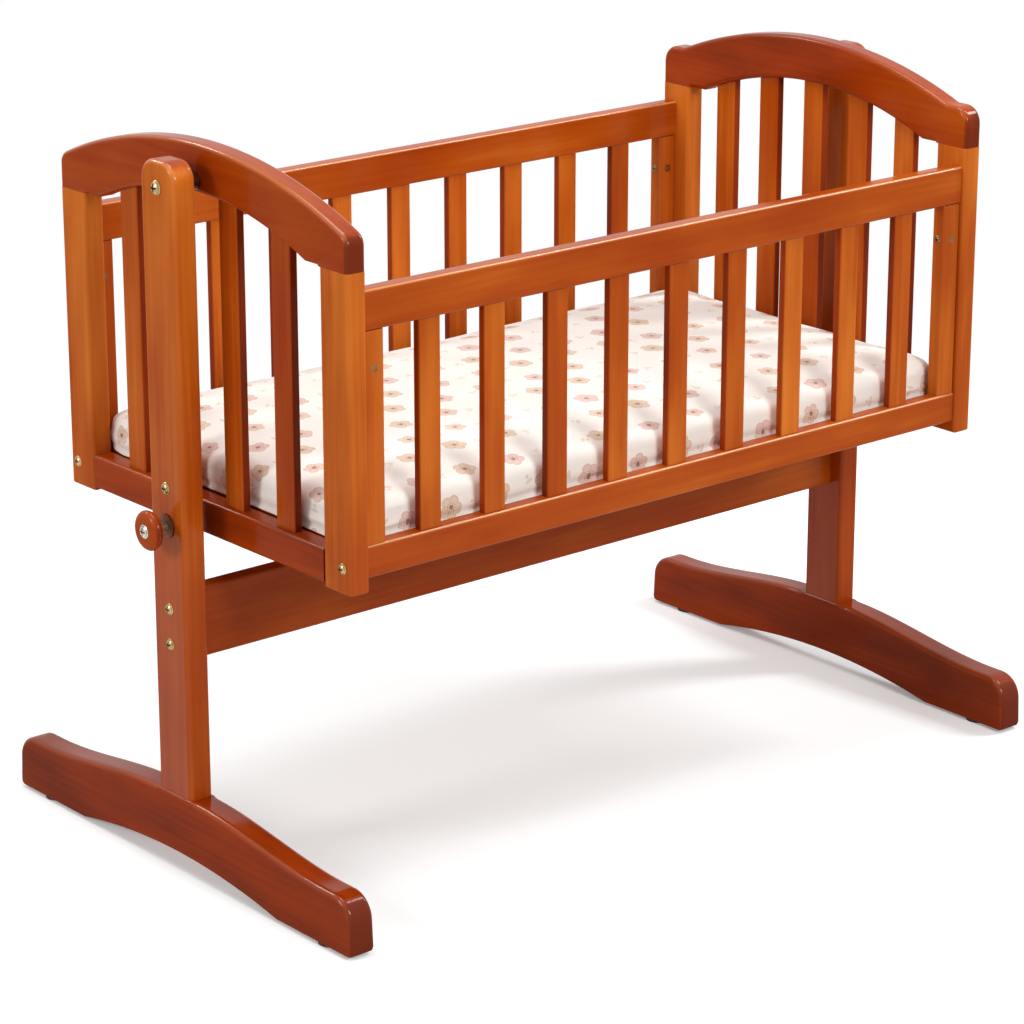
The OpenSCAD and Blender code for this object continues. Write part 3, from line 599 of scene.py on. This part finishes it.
def arch_outline(lo, hi, ears):
    """Closed outline (y, z): level joint, hollow underside, and a top curve that is one arc.
    With ears the arc ends at squared, round-cornered ends; without them it runs on into a
    rounded corner, whose circle touches both the arc and the upright end."""
    half, joint = hi[1], lo[2]
    rise = hi[2] - joint
    stile = half - STILE_W
    flat = stile - UNDER_FLAT
    arc = circle_top(joint + UNDER_RISE, chord_radius(flat, UNDER_RISE))
    under = curve(-flat, flat, arc, 44)
    if ears:
        knee, r, level, top_angle = half - EAR_W, EAR_R, joint + EAR_H - EAR_R, 90
        r_out = chord_radius(knee, rise - EAR_H)
    else:
        r, r_out = NEAR_R, chord_radius(half, NEAR_FALL)
        reach = math.sqrt((r_out - r) ** 2 - (half - r) ** 2)
        level = joint + rise - r_out + reach
        top_angle = math.degrees(math.atan2(reach, half - r))
        knee = (half - r) * r_out / (r_out - r) - 0.003
    over = curve(knee, -knee, circle_top(joint + rise, r_out), 60)
    ear = corner(half - r, level, r, top_angle, 10)
    seat = np.array([(stile - 0.004, joint), (stile, joint), (stile + EDGE_STEP, joint),
                     (half, joint)])
    pts = np.concatenate([under, seat, ear, over, (ear * MIRROR)[::-1], (seat * MIRROR)[::-1]])
    return pts, stile, joint


def arch(end, **look):
    """An end panel's arch with eased edges, level where it meets the stiles."""
    node = end + "_arch"
    lo, hi = span(node)
    pts, stile, joint = arch_outline(lo, hi, end == "far")
    hold = (np.abs(pts[:, 1] - joint) < TOUCH) & (np.abs(pts[:, 0]) > stile - TOUCH)
    make(node, [prism(pts, 0.0, lo[0], hi[0], "x", ARCH_EASE, hold)], "y", cap=0.005, **look)


def panel_sticks(end):
    """An end panel's two stiles, bottom rail and slats."""
    for side in ("front", "back"):
        stick(f"{end}_{side}_stile", "z", 0.0045, 0.0025, (1.0, 0.15), shade=0.36, wear=0.6)
    stick(end + "_bottom_rail", "y", 0.004, shade=1.4, wear=0.35)
    for node in sorted(n for n in NODES if n.startswith(end + "_slat_")):
        stick(node, "z", 0.0028, tint=0.1, wear=0.35, narrow=1)


# ---------------------------------------------------------------- sides
SIDE_SLATS, SLAT_W, CLEAT_W = 9, 0.030, 0.018


def cradle_side(side):
    """A side's two rails, two uprights and row of slats."""
    for rail in ("top", "bottom"):
        stick(f"{side}_{rail}_rail", "x", 0.0036, shade=0.78)
    for end in ("near", "far"):
        stick(f"{side}_{end}_upright", "z", 0.0025)
    row_of(side + "_slats", SIDE_SLATS, 0, SLAT_W, "z", 0.0028, tint=-0.16, wear=0.35,
           narrow=0)


# ---------------------------------------------------------------- mattress
VOXEL, VOXEL_QUICK = 0.0065, 0.012
SLACK = (0.003, 0.003, 0.002)  # how much smaller it starts on each side
CLOTH_FRAMES, CLOTH_REACH = 20, 0.005
SIDE_IN, SIDE_FADE = 0.034, 0.016  # the band along an edge that counts as the sheet's side
SIDE_OUT = (0.0125, 0.0068, 0.0)  # filling of the ends and of the sides
UPPER_OUT, UPPER_FROM, UPPER_FULL = 0.004, 0.0055, 0.0125  # more of it above the rails
FOLD, SWELL, SETTLE = 0.0006, 0.0004, 0.0008  # creases, waves and the sunken top
UNDER_TUCK, TUCK_HIGH = 0.014, 0.014
WALL_END, WALL_END_SLAT = 0.0045, 0.0068  # room at the ends beside the stiles, and between
WALL_SIDE, WALL_SLAT = 0.0046, 0.0036  # the same at the sides: rails, and slats above
WALL_SOFT = 0.0007
UPRIGHT_IN, STILE_IN = 0.418, 0.2135  # uprights and stiles stand further from the middle
WALL_FADE = 0.02  # the stretch over which the room changes beside them
LAID_IN, LAID_TOP = 0.03, 0.008  # where the laid-out sheet turns over its edge
LAID_FROM = 3.0  # its middle, well away from the print's and the noise's zero


def coords(me):
    co = np.empty(len(me.vertices) * 3)
    me.vertices.foreach_get("co", co)
    return co.reshape(-1, 3)


def bake(ob):
    """Replaces an object's mesh by what its modifiers make of it."""
    graph = bpy.context.evaluated_depsgraph_get()
    graph.update()
    made = bpy.data.meshes.new_from_object(ob.evaluated_get(graph))
    ob.modifiers.clear()
    ob.data = made


def puff(ob, start, floor_z):
    """A short cloth run under light pressure, with the underside held."""
    held = ob.vertex_groups.new(name="held")
    held.add([int(k) for k in np.nonzero(start[:, 2] < floor_z + 0.004)[0]], 1.0, "REPLACE")
    cloth = ob.modifiers.new("cloth", "CLOTH")
    cs = cloth.settings
    cs.quality = 4
    cs.mass = 0.25
    cs.tension_stiffness = cs.compression_stiffness = 12
    cs.shear_stiffness = 6
    cs.bending_stiffness = 0.6
    cs.use_pressure = True
    cs.uniform_pressure_force = 4
    cs.effector_weights.gravity = 0
    cs.vertex_group_mass = "held"
    cloth.point_cache.frame_start = 1
    cloth.point_cache.frame_end = CLOTH_FRAMES
    for f in range(1, CLOTH_FRAMES + 1):
        bpy.context.scene.frame_set(f)
    bake(ob)
    bpy.context.scene.frame_set(1)


def cushion():
    """The sheeted mattress: the model's solid made a little smaller, remeshed, puffed by a
    short cloth run with its underside held, and creased lightly along its sides."""
    lo, hi = span("mattress")
    mid = (lo + hi) / 2
    me = NODES["mattress"].data.copy()
    bm = bmesh.new()
    bm.from_mesh(me)
    bmesh.ops.remove_doubles(bm, verts=bm.verts, dist=1e-5)
    bm.to_mesh(me)
    bm.free()
    ob = link(bpy.data.objects.new("mattress_sheet", me))
    shrink = 1 - 2 * np.array(SLACK) / (hi - lo)
    co = mid + (coords(me) - mid) * shrink
    co[:, 2] -= (hi[2] - lo[2]) * (1 - shrink[2]) / 2
    me.vertices.foreach_set("co", co.ravel())
    voxel = ob.modifiers.new("voxels", "REMESH")
    voxel.mode = "VOXEL"
    voxel.voxel_size = VOXEL
    bake(ob)
    start = coords(ob.data)
    puff(ob, start, lo[2])
    me = ob.data
    co = coords(me)
    if len(co) == len(start):
        move = co - start
        size = np.linalg.norm(move, axis=1, keepdims=True)
        co = start + move * np.minimum(1, CLOTH_REACH / np.maximum(size, 1e-9))
    co = crease(co, lo, hi)
    me.vertices.foreach_set("co", co.ravel())
    me.update()
    me.polygons.foreach_set("use_smooth", np.ones(len(me.polygons), bool))
    lay_flat(me, co, lo, hi)
    me.materials.clear()
    me.materials.append(SHEET)
    smooth = ob.modifiers.new("smooth", "SUBSURF")
    smooth.levels = smooth.render_levels = 1
    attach(ob, "cradle")
    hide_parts("mattress")


def crease(co, lo, hi):
    """The sheet's sides and waves. The sides go outwards by sums of sines times a belt that is
    strongest at mid height, by a filling that fades towards the top, and by the tuck that the
    underside's rounding lacks. Then they are pressed against what holds them, the rails below
    and the uprights and slats above: a place r becomes wall - s log(1 + exp((wall - r) / s)),
    which runs along the wall beyond it and leaves what is well inside it alone. The top gets
    long shallow waves, again sums of sines."""
    draw = np.random.default_rng(7)
    mid, half = (lo + hi) / 2, (hi - lo) / 2
    p = co - mid
    toward = np.zeros_like(co)
    near_side = ramp(np.abs(p), half - SIDE_IN, half - SIDE_IN + SIDE_FADE)
    near_side = near_side * near_side * (3 - 2 * near_side)
    toward[:, :2] = np.sign(p[:, :2]) * near_side[:, :2]
    up = co[:, 2] - lo[2]
    h = ramp(up, 0, hi[2] - lo[2])
    wave = np.zeros(len(co))
    for _ in range(7):
        kx, ky, kz = draw.uniform(12, 55), draw.uniform(12, 55), draw.uniform(-40, 40)
        wave += np.sin(co[:, 0] * kx + co[:, 1] * ky + co[:, 2] * kz + draw.uniform(0, 6.3))
    low = ramp(up, TUCK_HIGH, 0)
    tuck = UNDER_TUCK * (1 - np.sqrt(np.maximum(1 - low ** 2, 0)))
    high = ramp(up, UPPER_FROM, UPPER_FULL) * (1 - h ** 3)
    push = wave * np.sin(np.pi * h) * FOLD + tuck + high * UPPER_OUT
    out = co + toward * (push[:, None] + np.outer(1 - h ** 4, SIDE_OUT))
    slats = ramp(np.abs(p[:, 0]), UPRIGHT_IN, UPRIGHT_IN - WALL_FADE) * ramp(high, 0, 1 / 3)
    between = ramp(np.abs(p[:, 1]), STILE_IN, STILE_IN - WALL_FADE)
    wall = np.column_stack([half[0] + WALL_END + WALL_END_SLAT * between,
                            half[1] + WALL_SIDE + WALL_SLAT * slats])
    spare = (wall - np.abs(out[:, :2] - mid[:2])) / WALL_SOFT
    room = wall - WALL_SOFT * np.log1p(np.exp(np.clip(spare, -60, 60)))
    inside = np.abs(p[:, :2]) < half[:2] - SIDE_IN
    out[:, :2] = np.where(inside, out[:, :2], mid[:2] + np.sign(p[:, :2]) * room)
    swell = np.zeros(len(co))
    for _ in range(6):
        kx, ky = draw.uniform(-14, 14), draw.uniform(-22, 22)
        swell += np.sin(co[:, 0] * kx + co[:, 1] * ky + draw.uniform(0, 6.3))
    out[:, 2] += ramp(h, 0.6, 1.0) * (swell * SWELL - SETTLE)
    return out


def lay_flat(me, co, lo, hi):
    """The sheet unrolled: the top keeps its x and y, and what hangs down a side is laid out
    beyond its edge by the depth it hangs."""
    p = co - (lo + hi) / 2
    inner = (hi - lo) / 2 - LAID_IN
    over = (np.sign(p) * np.maximum(np.abs(p) - inner, 0))[:, :2]
    size = np.maximum(np.linalg.norm(over, axis=1), 1e-9)
    drop = np.maximum(hi[2] - LAID_TOP - co[:, 2], 0)
    flat = p[:, :2] + over / size[:, None] * drop[:, None]
    vec = np.column_stack([flat + LAID_FROM, co[:, 2]]).astype(np.float32)
    me.attributes.new("cloth", "FLOAT_VECTOR", "POINT").data.foreach_set("vector", vec.ravel())


# ---------------------------------------------------------------- lock and hardware
KNOB_THICK, KNOB_NECK, KNOB_FACE = 0.017, 0.003, 0.003
KNOB_FRONT, KNOB_REAR = (0.0062, 0.0085), (0.008, 0.0095)  # depth and height of its edges


def knob():
    """The turned knob: a fat disc whose edges are long curves, quarter ellipses in its profile,
    its face behind the head of its screw, on a short neck."""
    lo, hi = span("lock_knob")
    r = (hi[1] - lo[1]) / 2
    a = np.radians(np.linspace(0, 90, 9))
    (deep, high), (back, low) = KNOB_FRONT, KNOB_REAR
    front = np.stack([KNOB_FACE + deep * (1 - np.sin(a)), r - high * (1 - np.cos(a))], 1)
    rear = np.stack([KNOB_THICK - back * (1 - np.sin(a)), r - low * (1 - np.cos(a))], 1)
    rod_end = KNOB_THICK + KNOB_NECK
    profile = np.concatenate([
        [(KNOB_FACE, 0.0), (KNOB_FACE, 0.006), (KNOB_FACE, 0.0105)], front[::-1], rear,
        [(KNOB_THICK, 0.0125), (KNOB_THICK + 0.0006, 0.0105), (KNOB_THICK + 0.0016, 0.0092),
         (rod_end - 0.0004, 0.009), (rod_end, 0.0086), (rod_end, 0.0)]])
    start = (lo + hi) / 2
    start[0] = lo[0]
    make("lock_knob", [turned(profile, start, "x", 96)], "y", shade=1.0)


HARDWARE = {
    "stretcher_bolts": POST_BRASS, "post_screw": POST_BRASS, "corner_bolts": CORNER_BRASS,
    "side_studs": STUD_BRASS, "side_nuts": STUD_BRASS, "pivot_bolts": PIVOT_BRASS,
    # The dark bronze on the pivot spacers is painted shade, for the dark gap between post and
    # arch
    "pivot_bushes": BRASS, "pivot_spacers": BRONZE, "lock_bush": BRONZE,
    "foot_bolts": STEEL, "stretcher_inserts": STEEL, "corner_nuts": STEEL,
    "pivot_inserts": STEEL, "lock_rod": STEEL, "knob_screw": STEEL,
    "foot_pads": RUBBER, "lock_pad": RUBBER,
}


def hardware():
    """The model's own solids keep their shape and get their metal or rubber."""
    for node, material in HARDWARE.items():
        me = NODES[node].data
        for k in range(len(me.materials)):
            me.materials[k] = material
        if not me.materials:
            me.materials.append(material)


# ---------------------------------------------------------------- studio
WHITE = (1, 1, 1, 1)
FLOOR_HALF, FLOOR_NEAR, FLOOR_FAR = 16.0, 1.1, 2.4
FLOOR_BACK = (0.65, 0.65, 0.65, 1)  # what it throws back as light
FLOOR_LIT, FLOOR_GLOW = (0.91, 0.95, 0.96, 1), 0.2  # how it is seen near the object
WORLD, WORLD_TINT = 0.36, (1.0, 0.985, 0.97, 1)
LAMPS = (  # name, place, what it points at, size, watts, colour
    ("front_box", (-0.5, -3.6, 2.4), (0.1, 0, 0.5), (1.2, 1.0), 78, (1.0, 1.0, 0.98)),
    ("end_box", (-3.8, 0.7, 2.0), (-0.3, 0, 0.5), (1.1, 1.1), 50, (1, 0.99, 0.97)),
    ("top_box", (-0.3, 0.3, 3.4), (0, 0, 0.3), (1.6, 1.4), 38, (1, 1, 1)),
    ("rim_box", (2.3, -1.0, 3.0), (0, 0, 0.5), (0.5, 1.4), 52, (1, 1, 1)),
    ("back_box", (-1.3, 2.9, 3.0), (0, 0, 0.5), (0.9, 0.7), 24, (1, 1, 1)),
)
CAMERA_AT = (-2.6670, -3.1449, 1.6762)
CAMERA_YAW, CAMERA_PITCH = 49.85, -18.19
CAMERA_F, FRAME_PX, SENSOR = 3600.0, 1024, 36.0  # focal length in pixels of the frame


def floor():
    """A pale floor. Where it is seen, directly or in a mirror, it is a pale surface under the
    lamps with a little glow, so that the object's shadow shows, and white further away."""
    p = Paint("studio_floor", Roughness=0.9, Specular_IOR_Level=0.0, Base_Color=FLOOR_BACK)
    x, y, _ = p.split(p.place())
    away = p.step(p.math("SQRT", x * x + y * y), FLOOR_NEAR, FLOOR_FAR)
    lit = p.node("BsdfDiffuse", None, {"Color": FLOOR_LIT})
    glow = p.node("Emission", None, {"Color": WHITE, "Strength": FLOOR_GLOW})
    white = p.node("Emission", None, {"Color": WHITE, "Strength": 1.0})
    near = p.node("AddShader", None, {0: lit.outputs[0], 1: glow.outputs[0]})
    pale = p.node("MixShader", None, {0: away, 1: near.outputs[0], 2: white.outputs[0]})
    both = p.node("MixShader", None, {0: p.seen(), 1: p.skin.outputs[0], 2: pale.outputs[0]})
    p.put(p.out.inputs["Surface"], both.outputs[0])
    me = bpy.data.meshes.new("studio_floor")
    s = FLOOR_HALF
    me.from_pydata([(-s, -s, 0), (s, -s, 0), (s, s, 0), (-s, s, 0)], [], [[0, 1, 2, 3]])
    me.materials.append(p.mat)
    link(bpy.data.objects.new("studio_floor", me))


def sky():
    """A soft even light from all round, which looks white where it is seen."""
    world = bpy.data.worlds.new("studio_white")
    bpy.context.scene.world = world
    world.use_nodes = True
    n = Nodes(world.node_tree)
    lit = n.node("Background", None, {0: WORLD_TINT, 1: WORLD})
    seen = n.node("Background", None, {0: WHITE, 1: 1.0})
    mix = n.node("MixShader", None, {0: n.seen(), 1: lit.outputs[0], 2: seen.outputs[0]})
    n.node("OutputWorld", None, {0: mix.outputs[0]})


def lamp(name, place, target, size, power, colour):
    """A soft box at a place, its face turned to the target."""
    light = bpy.data.lights.new(name, "AREA")
    light.shape = "RECTANGLE"
    light.size, light.size_y = size
    light.energy = power
    light.color = colour
    ob = link(bpy.data.objects.new(name, light))
    ob.location = place
    aim = np.array(target, float) - np.array(place, float)
    pitch = math.atan2(math.hypot(aim[0], aim[1]), -aim[2])
    ob.rotation_euler = (pitch, 0, math.atan2(-aim[0], aim[1]))


def camera():
    cam = bpy.data.cameras.new("photo_camera")
    cam.sensor_width = SENSOR
    cam.lens = CAMERA_F * SENSOR / FRAME_PX
    ob = link(bpy.data.objects.new("photo_camera", cam))
    ob.location = CAMERA_AT
    ob.rotation_euler = (math.radians(90 + CAMERA_PITCH), 0, math.radians(CAMERA_YAW - 90))
    bpy.context.scene.camera = ob


# The order of the pieces is that of their random draws
post("near_post")
post("far_post")
foot("near_foot")
foot("far_foot")
stick("stretcher", "x", 0.004, shade=0.98, wear=0.4)
arch("near", shade=1.22, wear=0.6)
arch("far", shade=1.32, wear=0.3)
panel_sticks("near")
panel_sticks("far")
cradle_side("front")
cradle_side("back")
row_of("base_cleats", 2, 1, CLEAT_W, "x", 0.0015)
# The base board's dark stain is painted shade, for the shadowed gap under the mattress
stick("base_board", "x", 0.001, shade=1.0, suffix="_ply", slot="board")
cushion()
knob()
hardware()
floor()
sky()
for row in LAMPS:
    lamp(*row)
camera()
bpy.context.scene.view_settings.view_transform = "Standard"
